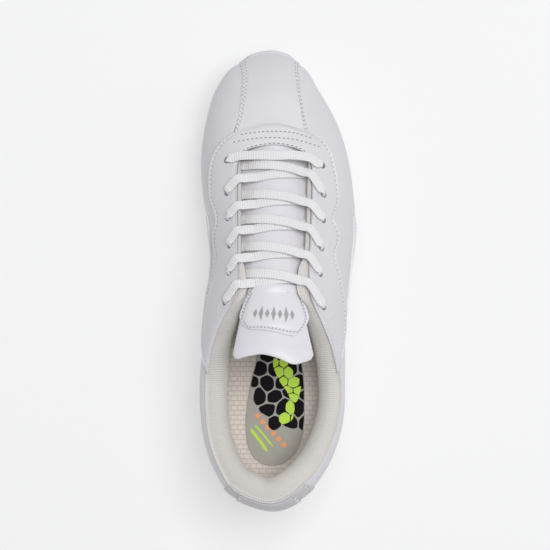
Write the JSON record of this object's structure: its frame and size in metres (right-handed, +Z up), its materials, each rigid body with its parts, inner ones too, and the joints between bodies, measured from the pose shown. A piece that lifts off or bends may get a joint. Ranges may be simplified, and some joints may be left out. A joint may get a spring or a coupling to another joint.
{
  "type": "cheer shoe",
  "caption": "Low laced leather cheer shoe for the right foot, with a two-seam toe, eyelet stay, padded collar, hinged tongue top and lift-out insole.",
  "frame": {"origin": "on the ground under the middle of the shoe's outline", "axes": "+Y towards the toe, +X towards the outer side of the foot, +Z up"},
  "size_m": [0.0966, 0.2842, 0.1076],
  "materials": {
    "white_leather": "satin",
    "label_leather": "satin",
    "sole_rubber": "matte",
    "sole_foam": "matte",
    "cream_textile": "matte",
    "padding_foam": "matte",
    "insole_board": "matte",
    "print_film": "matte",
    "stiffener": "matte",
    "lace_fabric": "matte",
    "aglet_plastic": "gloss"
  },
  "bodies": {
    "shoe": {"outsole": "sole_rubber", "midsole": "sole_foam", "toe_bumper": "sole_rubber", "strobel_board": "insole_board", "side_panel_medial": "white_leather", "side_panel_lateral": "white_leather", "toe_panel": "white_leather", "eyestay": "white_leather", "side_band_medial": "white_leather", "side_band_lateral": "white_leather", "heel_overlay": "white_leather", "heel_tab": "white_leather", "toe_puff": "stiffener", "heel_counter": "stiffener", "vamp_lining": "cream_textile", "collar_lining": "cream_textile", "collar_foam": "padding_foam", "tongue_face": "white_leather", "tongue_foam": "padding_foam", "tongue_lining": "cream_textile", "lace": "lace_fabric", "aglet_medial": "aglet_plastic", "aglet_lateral": "aglet_plastic"},
    "tongue_top": {"tongue_flap_face": "white_leather", "tongue_flap_foam": "padding_foam", "tongue_flap_lining": "cream_textile", "tongue_label": "label_leather"},
    "insole_layer": {"insole": "cream_textile", "insole_print": "print_film"}
  },
  "joints": [
    {"name": "tongue_flex", "type": "hinge", "parent": "shoe", "child": "tongue_top", "pos_m": [-0.0044, -0.0075, 0.0926], "axis": [-1, 0, 0], "range_deg": [0, 35], "stiffness_Nm_per_rad": 0.2},
    {"name": "insole_lift", "type": "hinge", "parent": "shoe", "child": "insole_layer", "pos_m": [-0.004, 0.1295, 0.027], "axis": [-1, 0, 0], "range_deg": [0, 2]}
  ]
}
